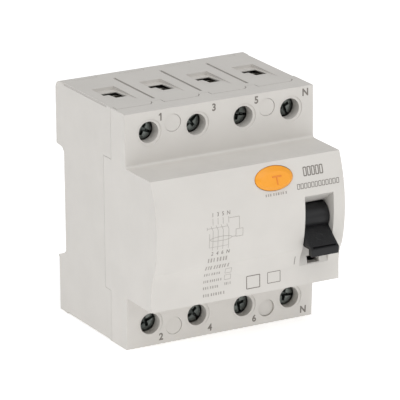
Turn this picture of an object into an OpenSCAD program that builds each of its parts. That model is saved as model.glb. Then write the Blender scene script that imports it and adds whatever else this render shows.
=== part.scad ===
// Four-pole residual current device for a 35 mm top-hat rail.
// The case is drawn from its own bottom edge (z = 0) and its terminal face (y = 0), front towards -Y.
// on_rail() then moves every piece so that the origin is the centre of the rail seat.

/* [Case] */
// Width of one pole
pole_w = 17.8; // [17.6:0.05:17.9]
// Height of the case
case_h = 81.7; // [81.2:0.1:83]
// Height of the raised middle section
mid_h = 45; // [44.8:0.1:45.2]
// Height of the underside of the middle section
mid_lo = 18.4; // [18:0.1:18.8]
// Terminal face to rail seat
seat_y = 44.5; // [44:0.1:45]
// Terminal face to the back of the case
rear_y = 50; // [49.6:0.1:50.4]
// Thickness of the case walls
wall = 1.8; // [1.6:0.1:2]

/* [Front] */
// Foremost point of the bulging front
nose_y = -21; // [-21.5:0.1:-20.5]
// Flat strip at the foot of the front
face_y = -16.8; // [-17:0.1:-16.5]
// Width of the toggle well
well_w = 11; // [10.9:0.1:11.2]
// Middle of the toggle and its well
toggle_x = 25.8; // [25.6:0.1:26]
// Length and height of the oval test button
button_size = [14.2, 7.8]; // [7:0.1:15]
// Middle of the test button
button_at = [9.4, 58.2]; // [5:0.1:60]

/* [Terminals] */
// Radius of the screwdriver holes
driver_r = 3.65; // [3.5:0.05:3.8]
// Radius of the terminal screw threads
screw_r = 2.5; // [2.4:0.05:2.5]

/* [Motion] */
// Swing of the toggle from off to on
toggle_swing = 85; // [80:1:86]

/* [Hidden] */

poles = 4;
body_w = poles * pole_w;
side_x = body_w / 2;
pole_x = [for (i = [0:poles - 1]) (i - (poles - 1) / 2) * pole_w];
mid_hi = mid_lo + mid_h;
rail_z = 39.9;            // rail centre line above the bottom of the case
lean = 1.2;               // how far the lower terminal face leans back at the bottom
gap = 0.12;               // assembly gap between the two halves of the case
tab_gap = 0.26;           // clearance round the tongues of the base in the cover
fit = 0.05;               // running clearance of pins and screws

// seam between cover and base, stepping back behind the middle section
seam_top = 10;
seam_mid = 15.5;
seam_low = 11.6;
step_hi = 64;
step_lo = 18;

// bulging front: convex arc above, hollow arc below, meeting at a crease
nose_r = 46;
nose_z = 45;
hollow_r = 14.6;
hollow_z = 24;
crease_z = 31.8;

// terminal rows
line_z = 74.5;
load_z = 7.8;
ring_r = 4.65;
ring_depth = 0.3;
sleeve_t = 0.9;           // wall of the sleeves behind the driver holes
head_r = 3.2;
head_y = 4.5;
head_t = 2.9;
tip_y = 20.15;
plate_y = 20.2;
plate_t = 1.6;
cage_y = 14;
cage_l = 17;
cage_nut = 2.6;
cage_w = 10.4;
cage_h = 9.6;
cage_t = 1.2;
mouth_y = [21.2, 29.9];
slot_w = 0.9;             // slots for insulating barriers between the poles
slot_y = [12.8, 41.5];
slot_d = 2.2;
divider_t = 3;
plug_x = 17.8;
plug_r = 3;
plug_z = [case_h - 5.2, 5.6];
post_r = 2.9;             // posts that the case screws run through and bite into
post_step = 6.6;          // where the cover's posts get slim
rear_r = 3;               // rounding of the rear top edge
case_screw_r = 1.5;

// toggle and its switching gear, as [y, z] points on axes along X
pivot = [-13.9, 41.2];
hub_r = 4.7;
toggle_w = 10.5;
toggle_rest = 37.7;       // lever angle below the horizontal when off
pin_r = 1;
crank_r = 3;
crank = pivot + crank_r * [cos(toggle_swing / 2), sin(toggle_swing / 2)];
link_l = 9;
link_pin_r = 0.75;
follower = crank + [link_l, 0];
axle = [12, 41.2];
axle_r = 1.5;
rotor_r = 3.6;
arm_l = norm(follower - axle);
arm_angle = atan2(follower[1] - axle[1], axle[0] - follower[0]);
carrier_swing = 2 * arm_angle;
frame_x = [18.3, 32.4];
frame_t = 0.8;
spacer = [-8, 47];

// contacts, drawn closed and then turned open by the carrier's swing
touch = [22.6, 57];
tip_r = 1.8;
tip_t = 0.65;
arm_w = 5;

// summation transformer and the four conductors through it
core_at = [0, 22, 28.5];
core_r = 17.2;
core_bore = 10.6;
core_h = 10;
cond_w = 3.6;             // width of the square conductors
cond_z = [20.3, 36];      // levels of the runs below and above the core
cond_hole = 4.2;          // sideways place of the conductors in the core

// trip relay and lever
relay_lo = [-6, -13, 26];
relay_hi = [11.5, 1.5, 38];
plunger = [-6, 34];
plunger_r = 1.2;
trip_x = 15.5;
trip_z = 46;
trip_pin_r = 0.75;
lever_face = trip_x - 0.6; // side of the lever that the plunger strikes

// test circuit
button_rise = 1.35;       // how far the button stands proud of the front
stem_r = 1.5;
card_y = [-6.4, -5.4];
leaf_root = 3.1;
leaf_y = -4.6;

// rail clip
clip_w = 20;
clip_y = [46.2, 49.8];

// ---- helpers -------------------------------------------------------------

// moves the case so that the origin is the centre of the rail seat
module on_rail() translate([0, -seat_y, -rail_z]) children();

// extrudes a [y, z] outline along X
module along_x(x, w) translate([x, 0, 0]) rotate([90, 0, 90]) linear_extrude(w) children();
module side_plate(x, w, points) along_x(x, w) polygon(points);

// box from its lowest to its highest corner
module block(a, b) translate(a) cube(b - a);

module rod_x(x, y, z, r, l) translate([x, y, z]) rotate([0, 90, 0]) cylinder(r = r, h = l, $fn = 48);
module rod_y(x, y, z, r, l) translate([x, y, z]) rotate([-90, 0, 0]) cylinder(r = r, h = l, $fn = 48);
module rod_z(x, y, z, r, l) translate([x, y, z]) cylinder(r = r, h = l, $fn = 48);

// straight round bar between two points, with round ends a hair larger than the bar
module bar(a, b, r) {
    d = b - a;
    translate(a) rotate([0, acos(d[2] / norm(d)), atan2(d[1], d[0])]) cylinder(r = r, h = norm(d), $fn = 32);
    translate(a) sphere(r = r + 0.02, $fn = 32);
    translate(b) sphere(r = r + 0.02, $fn = 32);
}

function arc(c, r, a0, a1, n) = [for (i = [0:n]) let (a = a0 + (a1 - a0) * i / n) c + r * [cos(a), sin(a)]];

// points of an oval outline
function oval(size, n) = [for (i = [0:n - 1]) let (a = 360 * i / n) [size[0] * cos(a), size[1] * sin(a)] / 2];

// wire wound into a helix along Z: ring centres on the helix, a small polygon round each
module coil(r, wire, h, turns) {
    per_turn = 14;
    sides = 6;
    n = turns * per_turn;
    rise = atan2(h, turns * 2 * PI * r);
    points = [for (i = [0:n]) let (a = 360 * i / per_turn) for (j = [0:sides - 1]) let (b = 360 * j / sides)
        [(r + wire * cos(b)) * cos(a) + wire * sin(b) * sin(rise) * sin(a),
         (r + wire * cos(b)) * sin(a) - wire * sin(b) * sin(rise) * cos(a),
         h * i / n + wire * sin(b) * cos(rise)]];
    faces = concat(
        [[for (j = [0:sides - 1]) j]],
        [for (i = [0:n - 1]) for (j = [0:sides - 1]) let (k = (j + 1) % sides)
            [i * sides + j, (i + 1) * sides + j, (i + 1) * sides + k, i * sides + k]],
        [[for (j = [0:sides - 1]) n * sides + sides - 1 - j]]);
    polyhedron(points = points, faces = faces, convexity = 8);
}

// ---- case ----------------------------------------------------------------

// front face of the middle section, set in by d, from the bottom up
function front_face(d) = let (
        hollow_c = [face_y - hollow_r, hollow_z],
        nose_c = [nose_y + nose_r, nose_z],
        ra = hollow_r + d,
        rb = nose_r - d,
        crease_a = asin((crease_z - hollow_z) / ra),
        crease_b = asin((crease_z - nose_z) / rb),
        top_b = asin((mid_hi - d - nose_z) / rb))
    concat([[face_y + d, mid_lo + d]],
        arc(hollow_c, ra, 0, crease_a, 6),
        [for (i = [0:18]) let (a = crease_b + (top_b - crease_b) * i / 18) nose_c + rb * [-cos(a), sin(a)]]);

module cover_shell() {
    outline = concat([[lean, 0], [0, mid_lo]], front_face(0), [[-1, mid_hi]],
        arc([-1, mid_hi + 1], 1, -90, 0, 4),
        [[0, case_h], [seam_top, case_h], [seam_top, step_hi], [seam_mid, step_hi],
         [seam_mid, step_lo], [seam_low, step_lo], [seam_low, 0]]);
    far = rear_y;
    cavity = concat([[lean + wall, wall], [wall, mid_lo + wall]], front_face(wall), [[wall, mid_hi - wall],
        [wall, case_h - wall], [far, case_h - wall], [far, wall]]);
    difference() {
        side_plate(-side_x, body_w, outline);
        side_plate(-side_x + wall, body_w - 2 * wall, cavity);
    }
}

// where the seam runs at the height of a case screw
function seam_y(z) = z > mid_hi ? seam_top : seam_low;

// walls between neighbouring poles, from y0 back to y1
module dividers(y0, y1, z0, z1) {
    for (x = [-pole_w, 0, pole_w]) block([x - divider_t / 2, y0, z0], [x + divider_t / 2, y1, z1]);
}

// side profile of the toggle well: sloping ceiling, hub bay, sloping floor
function well_outline() = [[-30, 57.4], [-20.7, 50.5], [-14.6, 46.3], [-8, 46.3], [-8, 36.1], [-14.6, 36.1],
    [-16.3, 27.6], [face_y, 25.3], [-30, 20]];

module well_liner() {
    wx = toggle_x - well_w / 2;
    t = 0.9;
    intersection() {
        side_plate(wx - t, well_w + 2 * t,
            [[-22, 52.5], [-9.5, 52.5], [-9.5, 29], [-14.4, 25.4], [-16.9, 23.6], [-22, 23.6]]);
        side_plate(-side_x, body_w, concat(front_face(0.4), [[0, mid_hi - 0.4], [0, mid_lo + 0.4]]));
    }
}

// oval bar along Y at the test button's place
module oval_bar(size, y0, y1) {
    translate([button_at[0], y1, button_at[1]]) rotate([90, 0, 0])
        linear_extrude(y1 - y0) polygon(oval(size, 64));
}

module front_cover() color([0.85, 0.84, 0.82]) difference() {
    union() {
        cover_shell();
        dividers(wall, seam_top, mid_hi - wall, case_h - 1);
        dividers(wall + lean, seam_low, 1, mid_lo + wall);
        // posts behind the plugs, slim where the rising cages pass
        for (x = [-plug_x, plug_x]) for (z = plug_z) {
            rod_y(x, wall - 0.4, z, plug_r + 1, post_step - wall + 0.4);
            rod_y(x, post_step, z, post_r, seam_y(z) - post_step);
        }
        // sleeves that lead the screwdriver to the screw heads
        for (x = pole_x) for (z = [line_z, load_z])
            rod_y(x, wall - 0.4, z, driver_r + sleeve_t, head_y - 0.1 - wall + 0.4);
        well_liner();
        oval_bar(button_size + [2.4, 2.4], -17.2, -12.5);
    }
    // screwdriver holes, each in a shallow ring
    for (x = pole_x) {
        rod_y(x, -1, line_z, driver_r, 6);
        rod_y(x, -1, line_z, ring_r, 1 + ring_depth);
        rod_y(x, -1, load_z, driver_r, 6);
        rod_y(x, -1, load_z, ring_r, 1 + lean * (1 - load_z / mid_lo) + ring_depth);
    }
    // sockets of the round plugs, with a stepped bore for the case screw
    for (x = [-plug_x, plug_x]) for (z = plug_z) {
        rod_y(x, -1, z, plug_r + 0.05, 4.1);
        rod_y(x, 2, z, 2.7, 3.6);
        rod_y(x, 4, z, case_screw_r + 0.1, 12);
    }
    // toggle well and the pin slots in its cheeks
    side_plate(toggle_x - well_w / 2, well_w, well_outline());
    block([toggle_x - well_w / 2 - 2, pivot[0], pivot[1] - pin_r - 0.1],
        [toggle_x + well_w / 2 + 2, -8, pivot[1] + pin_r + 0.1]);
    rod_x(toggle_x - well_w / 2 - 2, pivot[0], pivot[1], pin_r + 0.1, well_w + 4);
    // small window in the floor of the well
    block([toggle_x - 2.3, -17.5, 25.6], [toggle_x + 2.3, -12, 28.1]);
    // button hole
    oval_bar(button_size + [0.3, 0.3], -26, -8);
    // tabs of the base reach forward here
    for (x = pole_x) translate([0, 0, case_h - wall - 0.1]) linear_extrude(wall + 1) tab_outline(x, tab_gap);
}

// tongue of the base's top wall that reaches forward into the cover
module tab_outline(x, d) polygon([[x - 7.8 - d, seam_top + 1], [x - 7.8 - d, 7.5 - d], [x + 4.7, 7.5 - d],
    [x + 6 + d, 9.2 - d], [x + 6 + d, seam_top + 1]]);

// shallow ramp that leads a wire into the clamp, closed by a low wall behind
module wire_ramp(x) side_plate(x - 4.1, 8.2, [[14.5, case_h + 0.01], [14.5, case_h + 1],
    [32.8, case_h + 1], [32.8, case_h - 1.3]]);

// wire mouth: a deep slot with a shorter slot beside it
module wire_mouth(x) translate([x, 0, case_h - 4]) linear_extrude(6) polygon([[-0.85, mouth_y[0]],
    [3.4, mouth_y[0]], [3.4, mouth_y[1]], [-3.65, mouth_y[1]], [-3.65, 26.5], [-0.85, 26.5]]);

// features cut in the top wall of the base; the bottom wall has the same
module wire_side() {
    for (x = pole_x) {
        wire_ramp(x);
        wire_mouth(x);
        // fine groove along the back edge, with a short return at its right end
        block([x - 5, 45, case_h - 0.25], [x + 4.6, 45.2, case_h + 1]);
        block([x + 4.4, 45, case_h - 0.25], [x + 4.6, 47.2, case_h + 1]);
        // the wall is thinned round the mouth from inside
        side_plate(x - 4.3, 8.4, [[20.4, case_h - 4], [20.4, case_h - 0.9], [33.2, case_h - 1.75],
            [33.2, case_h - 4]]);
    }
    for (x = [-pole_w, 0, pole_w])
        block([x - slot_w / 2, slot_y[0], case_h - slot_d], [x + slot_w / 2, slot_y[1], case_h + 1]);
    for (s = [-1, 1]) block([s * side_x - slot_w / 2, slot_y[0], case_h - 0.6],
        [s * side_x + slot_w / 2, slot_y[1] + 2.5, case_h + 1]);
}

module base_shell() {
    outline = concat([[seam_low + gap, 0], [rear_y, 0], [rear_y, 19.7], [46.1, 21.2], [seat_y, 22.2],
        [seat_y, 57.6], [46, 59], [rear_y, 59.4]], arc([rear_y - rear_r, case_h - rear_r], rear_r, 0, 90, 10),
        [[seam_top + gap, case_h], [seam_top + gap, step_hi + gap], [seam_mid + gap, step_hi + gap],
         [seam_mid + gap, step_lo - gap], [seam_low + gap, step_lo - gap]]);
    cavity = [[5, wall], [44.1, wall], [44.1, 19.2], [seat_y - wall, 20.4], [seat_y - wall, 59.4],
        [45, 61.2], [rear_y - wall, 61.2], [rear_y - wall, case_h - wall], [5, case_h - wall]];
    difference() {
        side_plate(-side_x, body_w, outline);
        side_plate(-side_x + wall, body_w - 2 * wall, cavity);
    }
}

module rear_base() color([0.82, 0.81, 0.79]) difference() {
    union() {
        base_shell();
        for (x = pole_x) translate([0, 0, case_h - wall]) linear_extrude(wall) intersection() {
            tab_outline(x, 0);
            translate([x - 10, 0]) square([20, seam_top + gap + 0.5]);
        }
        dividers(seam_top + gap, rear_y - 1, step_hi + gap, case_h - 1);
        dividers(seam_low + gap, 44.5, 1, step_lo - gap);
        for (x = [-plug_x, plug_x]) for (z = plug_z) rod_y(x, seam_y(z) + gap, z, post_r, 18);
        // fixed lips that hook over the top of the rail
        for (s = [-1, 1]) block([s * 20 - 6, 46, 56.2], [s * 20 + 6, 48, 59.3]);
    }
    wire_side();
    translate([0, 0, case_h]) mirror([0, 0, 1]) wire_side();
    for (x = [-plug_x, plug_x]) for (z = plug_z) rod_y(x, 9, z, case_screw_r, 18.2);
    // channel for the rail clip, open at the bottom
    block([-10.1, 46.1, -1], [10.1, rear_y + 1, 24]);
    block([-12.1, 47.1, -1], [12.1, 48.9, 24]);
    // pocket for the clip spring
    block([-2.6, 44.9, 5.9], [2.6, 47, 18.1]);
    // the seat is relieved under the lips and under the clip's hook
    for (s = [-1, 1]) block([s * 20 - 6.2, seat_y - 0.1, 56], [s * 20 + 6.2, 46, 58.4]);
    block([-clip_w / 2 - 0.2, seat_y - 0.1, 21], [clip_w / 2 + 0.2, 45, 24.4]);
    // inset strip down the back of each side wall
    for (s = [-1, 1]) block([s * side_x - 0.25, 46.2, -1], [s * side_x + 0.25, rear_y + 1, 19]);
}

// how deep a plug was pushed in: the lower right one sits deepest
function plug_set(x, z) = z > mid_hi ? 0.2 : x < 0 ? 0.25 : 0.8;

module cover_plugs() color([0.86, 0.85, 0.82]) for (x = [-plug_x, plug_x]) for (z = plug_z) {
    y0 = plug_set(x, z) + (z > mid_hi ? 0 : lean * (1 - z / mid_lo));
    difference() {
        rod_y(x, y0, z, plug_r, 2.9 - y0);
        rod_y(x, 2.2, z, 1.8, 2);
    }
}

module case_screws() color([0.6, 0.6, 0.6]) for (x = [-plug_x, plug_x]) for (z = plug_z) difference() {
    union() {
        rod_y(x, 3.3, z, 2.6, 2.3);
        rod_y(x, 5.5, z, case_screw_r, 19.5);
    }
    block([x - 0.3, 3, z - 1.8], [x + 0.3, 4.5, z + 1.8]);
    block([x - 1.8, 3, z - 0.3], [x + 1.8, 4.5, z + 0.3]);
}

// ---- toggle and mechanism ------------------------------------------------

// lever with its upper face level, pointing towards -Y from the pivot; its lip hangs down at the end
lever_points = [[0, 0], [-13.6, 0], [-14, -0.4], [-15, -2.1], [-13.4, -2.75], [-12.2, -1.3],
    [-9.6, -3.2], [-3.4, -3.3]];

module toggle_handle() color([0.16, 0.16, 0.16]) difference() {
    along_x(toggle_x - toggle_w / 2, toggle_w) translate(pivot) difference() {
        union() {
            circle(r = hub_r, $fn = 72);
            rotate(toggle_rest) polygon(lever_points);
        }
        circle(r = pin_r + fit, $fn = 48);
    }
    // finger groove behind the lip
    translate([toggle_x, pivot[0], pivot[1]]) rotate([toggle_rest, 0, 0])
        block([-4.4, -13.3, -0.7], [4.4, -12.5, 1]);
    // bay for the link, clear of the pin's bearing
    difference() {
        block([toggle_x - 0.95, pivot[0] + 0.7, pivot[1] + 0.5],
            [toggle_x + 0.95, pivot[0] + 8, pivot[1] + 8]);
        rod_x(toggle_x - 2, pivot[0], pivot[1], 1.55, 4);
    }
    rod_x(toggle_x - 3, crank[0], crank[1], link_pin_r + fit, 6);
    // recess for the return spring at one end of the hub
    rod_x(toggle_x + 3.6, pivot[0], pivot[1], 2.6, 4);
}

module toggle_pin() color([0.7, 0.7, 0.72])
    rod_x(frame_x[0] - 0.3, pivot[0], pivot[1], pin_r, frame_x[1] - frame_x[0] + frame_t + 0.6);

module toggle_spring() color([0.7, 0.7, 0.72])
    translate([toggle_x + 3.9, pivot[0], pivot[1]]) rotate([0, 90, 0]) coil(1.8, 0.25, 1.1, 2.5);

// flat link: crank pin at the toggle, follower pin in the carrier's drive arm
module toggle_link() color([0.72, 0.72, 0.74]) {
    rod_x(toggle_x - 2.9, crank[0], crank[1], link_pin_r, 5.8);
    rod_x(toggle_x - 3.4, follower[0], follower[1], link_pin_r, 6.8);
    along_x(toggle_x - 0.75, 1.5) translate(crank) union() {
        circle(r = 1.3, $fn = 36);
        translate([link_l, 0]) circle(r = 1.3, $fn = 36);
        translate([0, -0.8]) square([link_l, 1.6]);
    }
}

module mechanism_frame() color([0.7, 0.71, 0.73]) {
    plate = [[-16.4, 38], [-13, 35.4], [-2, 35.4], [7, 34.5], [15, 34.8], [17.6, 38], [17.6, 45], [14.5, 48],
        [8, 49.5], [-4, 50], [-16.4, 44.4]];
    bearing = [rotor_r + 0.3, axle_r + 0.02];
    for (i = [0, 1]) difference() {
        side_plate(frame_x[i], frame_t, plate);
        rod_x(frame_x[i] - 1, pivot[0], pivot[1], pin_r + 0.02, 3);
        rod_x(frame_x[i] - 1, axle[0], axle[1], bearing[i], 3);
    }
    rod_x(frame_x[0] + frame_t, spacer[0], spacer[1], 0.9, frame_x[1] - frame_x[0] - frame_t);
    // lug that carries the trip lever's pin
    difference() {
        block([trip_x - 2.6, -2, trip_z - 2.4], [frame_x[0], -1.2, trip_z + 2.4]);
        rod_y(trip_x, -3, trip_z, trip_pin_r + 0.02, 3);
    }
}

// turns what is drawn in the closed position to the open one
module opened() translate([0, axle[0], axle[1]]) rotate([-carrier_swing, 0, 0])
    translate([0, -axle[0], -axle[1]]) children();

// contact arm, closed: rises from the carrier and stands upright behind the fixed contact
arm_back = touch[0] + tip_t;
arm_outline = [[12.8, 45.2], [14.6, 44.2], [arm_back + 1.3, 52.3], [arm_back + 1.3, 59.4], [arm_back, 59.4],
    [arm_back, 53.2]];

module contact_carrier() color([0.3, 0.33, 0.36]) difference() {
    union() {
        rod_x(-side_x + wall + 1, axle[0], axle[1], rotor_r, frame_x[1] - 0.3 + side_x - wall - 1);
        opened() for (x = pole_x) {
            block([x - 3.6, axle[0] - 1, axle[1]], [x + 3.6, axle[0] + 4.6, axle[1] + 6.4]);
            block([x - 1.8, axle[0], axle[1] - 0.4], [x + 1.8, axle[0] + 8.3, axle[1] + 1.6]);
        }
        // drive arm towards the toggle
        translate([toggle_x, axle[0], axle[1]]) rotate([-arm_angle, 0, 0])
            block([-3.2, -arm_l - 2, -1.9], [3.2, 0, 1.9]);
    }
    rod_x(-side_x, axle[0], axle[1], axle_r + fit, body_w);
    opened() for (x = pole_x) {
        side_plate(x - arm_w / 2, arm_w, arm_outline);
        block([x - arm_w / 2, arm_outline[1][0], axle[1] + 1.6], [x + arm_w / 2, axle[0] + 6, axle[1] + 3.2]);
    }
    // fork and slot for the link
    translate([toggle_x, axle[0], axle[1]]) rotate([-arm_angle, 0, 0]) {
        block([-1.1, -arm_l - 4, -4], [1.1, -arm_l + 4.5, 4]);
        block([-5, -arm_l - 0.95, -0.95], [5, -arm_l + 1.85, 0.95]);
    }
}

module carrier_axle() color([0.7, 0.7, 0.72])
    rod_x(-side_x + wall + 0.2, axle[0], axle[1], axle_r, body_w - 2 * wall - 0.4);

module moving_contacts() color([0.78, 0.5, 0.3]) opened() for (x = pole_x)
    side_plate(x - arm_w / 2, arm_w, arm_outline);

module moving_tips() color([0.85, 0.85, 0.87]) opened() for (x = pole_x)
    rod_y(x, touch[0], touch[1], tip_r, tip_t);

module contact_springs() color([0.7, 0.7, 0.72]) opened() for (x = pole_x)
    translate([x, axle[0] + 6.7, axle[1] + 1.85]) coil(1.1, 0.2, 2.5, 3);

module line_plates() color([0.78, 0.5, 0.3]) for (x = pole_x)
    block([x - 3.8, plate_y, 54], [x + 3.8, plate_y + plate_t, case_h - 3]);

module fixed_tips() color([0.85, 0.85, 0.87]) for (x = pole_x)
    rod_y(x, plate_y + plate_t, touch[1], tip_r, touch[0] - fit - plate_y - plate_t);

module load_plates() color([0.78, 0.5, 0.3]) for (x = pole_x)
    block([x - 3.8, plate_y, 3], [x + 3.8, plate_y + plate_t, cond_z[0] - cond_w / 2 - 0.1]);

// square bar from a to b, level or upright, running half its width past both ends
module strap(a, b, w) {
    d = b - a;
    translate(a) rotate([0, acos(d[2] / norm(d)), atan2(d[1], d[0])])
        translate([-w / 2, -w / 2, -w / 2]) cube([w, w, norm(d) + w]);
}

// one conductor: down through the core, with a run out to its pole above and below
module conductor(x) {
    side = x > 0 ? 1 : -1;
    outer = abs(x) > pole_w;
    hole = [side * cond_hole, outer ? 25.5 : 18.5];
    bend = [side * 14, 26.3];
    above = [x, outer ? 25.5 : 20.5, cond_z[1]];
    below = [x, outer ? 22.5 : 20.5, cond_z[0]];
    top = [hole[0], hole[1], cond_z[1]];
    foot = [hole[0], hole[1], cond_z[0]];
    knee = [bend[0], bend[1], cond_z[0]];
    strap(above, top, cond_w);
    strap(top, foot, cond_w);
    if (outer) {
        strap(foot, knee, cond_w);
        strap(knee, below, cond_w);
    } else strap(foot, below, cond_w);
}

module primary_conductors() color([0.78, 0.5, 0.3]) for (x = pole_x) conductor(x);

// flat braids that rise from the conductors towards the moving arms
module flexible_braids() color([0.75, 0.48, 0.3]) for (x = pole_x) {
    y = abs(x) > pole_w ? 25.5 : 20.5;
    z = cond_z[1] + cond_w / 2 + 0.05;
    side_plate(x - 1.6, 3.2, [[y - 0.5, z], [y + 0.5, z], [y + 0.9, z + 1.4], [24.6, 43.8], [23.6, 43.8],
        [y - 0.1, z + 1.8]]);
}

module ring(r_in, r_out, z0, z1, a) translate([core_at[0], core_at[1], 0]) rotate([0, 0, -90 - a / 2])
    rotate_extrude(angle = a, $fn = 96) translate([r_in, z0]) square([r_out - r_in, z1 - z0]);

module sensing_core() color([0.35, 0.35, 0.38])
    ring(core_bore, core_r, core_at[2] - core_h / 2, core_at[2] + core_h / 2, 360);

// secondary winding: a sleeve of wire round part of the core
module core_winding() color([0.72, 0.36, 0.2]) {
    z0 = core_at[2] - core_h / 2;
    z1 = core_at[2] + core_h / 2;
    a = 110;
    ring(core_bore - 0.9, core_bore, z0 - 0.9, z1 + 0.9, a);
    ring(core_r, core_r + 0.9, z0 - 0.9, z1 + 0.9, a);
    ring(core_bore, core_r, z0 - 0.9, z0, a);
    ring(core_bore, core_r, z1, z1 + 0.9, a);
}

module core_cradle() color([0.9, 0.9, 0.86]) {
    z0 = core_at[2] - 4;
    z1 = core_at[2] + 4;
    ring(core_r + 1, core_r + 2.2, z0, z1, 360);
    difference() {
        block([-8, core_at[1] + core_r - 1, z0], [8, seat_y - wall - 0.05, z1]);
        translate([core_at[0], core_at[1], z0 - 1]) cylinder(r = core_r + 1.6, h = 12, $fn = 96);
    }
}

module relay_case() color([0.2, 0.22, 0.26]) difference() {
    block(relay_lo, relay_hi);
    rod_x(2, plunger[0], plunger[1], plunger_r + fit, 12);
}

module relay_plunger() color([0.72, 0.72, 0.74]) {
    rod_x(3, plunger[0], plunger[1], plunger_r, 9);
    rod_x(12, plunger[0], plunger[1], 1.8, 2.2);
    rod_x(14.2, plunger[0], plunger[1], 0.7, lever_face - 0.15 - 14.2);
}

module trip_lever() color([0.88, 0.88, 0.86]) difference() {
    union() {
        rod_y(trip_x, -9, trip_z, 1.9, 6.7);
        block([lever_face, -8, plunger[1] - 2], [trip_x + 0.6, -4, trip_z + 3.4]);
    }
    rod_y(trip_x, -10, trip_z, trip_pin_r + fit, 9);
}

module trip_lever_pin() color([0.7, 0.7, 0.72]) rod_y(trip_x, -9.6, trip_z, trip_pin_r, 8.4);

// ---- test circuit --------------------------------------------------------

module oval_cap(size, y1, d) intersection() {
    oval_bar(size, -26, y1);
    side_plate(0, 25, concat([[-8, mid_lo]], front_face(d), [[-8, mid_hi]]));
}

module test_button() color([0.98, 0.62, 0.2]) {
    oval_cap(button_size, -12.4, -0.55);
    oval_cap(button_size - [1.7, 1.7], -12.4, -button_rise);
    // collar that keeps the button in, cut flat under the top wall
    intersection() {
        oval_bar(button_size + [2, 1.8], -12.4, -11.3);
        block([0, -13, 50], [20, -11, mid_hi - wall - 0.15]);
    }
    rod_y(button_at[0], -11.3, button_at[1], stem_r, card_y[1] + 11.3);
    rod_y(button_at[0], card_y[1], button_at[1], 0.5, leaf_y - 0.25 - card_y[1]);
}

module test_spring() color([0.7, 0.7, 0.72])
    translate([button_at[0], -11, button_at[1]]) rotate([-90, 0, 0]) coil(2.3, 0.25, 4.3, 5);

module test_card() color([0.25, 0.42, 0.25]) {
    difference() {
        block([-13, card_y[0], 51], [17, card_y[1], mid_hi - wall - 0.1]);
        rod_y(button_at[0], card_y[0] - 1, button_at[1], stem_r + 0.2, 3);
    }
    block([leaf_root - 1.9, card_y[1], button_at[1] - 1.8],
        [leaf_root - 0.45, leaf_y + 0.8, button_at[1] + 1.8]);
}

// sprung strip with a rolled eye at its root
module test_leaf() color([0.85, 0.7, 0.4]) {
    block([leaf_root, leaf_y, button_at[1] - 1.2], [leaf_root + 10, leaf_y + 0.4, button_at[1] + 1.2]);
    rod_z(leaf_root, leaf_y + 0.2, button_at[1] - 1.2, 0.4, 2.4);
}

module test_resistor() color([0.8, 0.72, 0.6]) {
    y = card_y[0] - 2.6;
    z = 54.5;
    rod_x(-10, y, z, 2.1, 10);
    for (s = [-1, 1]) {
        rod_x(s > 0 ? 0 : -11.4, y, z, 0.35, 1.4);
        rod_y(-5 + s * 6.4, y, z, 0.35, 2.55);
    }
}

module sense_wires() color([0.7, 0.12, 0.1]) for (x = [-2, 2]) {
    bar([x, 5, core_at[2] + core_h / 2 + 1.45], [x, 3, 36.8], 0.5);
    bar([x, 3, 36.8], [x, 2.1, 36.8], 0.5);
}

// ---- rail clip -----------------------------------------------------------

module rail_clip() color([0.78, 0.78, 0.76]) difference() {
    union() {
        block([-clip_w / 2, clip_y[0], 0.5], [clip_w / 2, clip_y[1], 19.4]);
        block([-clip_w / 2 - 2, 47.2, 0.5], [clip_w / 2 + 2, 48.8, 17]);
        side_plate(-clip_w / 2, clip_w,
            [[clip_y[0], 19], [clip_y[0], 24.2], [47, 24.2], [48.6, 21], [48.6, 19]]);
        block([-2, 45.2, 16.4], [2, clip_y[0] + 0.1, 17.9]);
    }
    // trough that the spring lies in
    block([-2.3, 45, 5.5], [2.3, 47.6, 16.4]);
    // slot for a screwdriver
    block([-3, 45, 1.8], [3, 51, 3.6]);
}

module clip_spring() color([0.7, 0.7, 0.72])
    translate([0, 46.2, 6.3]) scale([1, 0.6, 1]) coil(1.7, 0.25, 9.7, 8);

// ---- terminals -----------------------------------------------------------

// combination head with a cross and a driver slot, turned as it was last tightened
module terminal_screw(x, z, a) color([0.62, 0.62, 0.62]) difference() {
    union() {
        rod_y(x, head_y, z, head_r, head_t);
        rod_y(x, head_y + head_t, z, screw_r, tip_y - head_y - head_t);
    }
    translate([x, head_y, z]) rotate([0, a, 0]) {
        block([-head_r - 1, -1, -0.4], [head_r + 1, 1.3, 0.4]);
        block([-0.55, -1, -2.1], [0.55, 2, 2.1]);
        block([-2.1, -1, -0.55], [2.1, 2, 0.55]);
    }
}

module clamp_cage(x, z) color([0.6, 0.6, 0.58]) difference() {
    block([x - cage_w / 2, cage_y, z - cage_h / 2], [x + cage_w / 2, cage_y + cage_l, z + cage_h / 2]);
    block([x - cage_w / 2 + cage_t, cage_y + cage_nut, z - cage_h], [x + cage_w / 2 - cage_t,
        cage_y + cage_l - 1.6, z + cage_h]);
    rod_y(x, cage_y - 1, z, screw_r + fit, cage_nut + 2);
}

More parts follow.
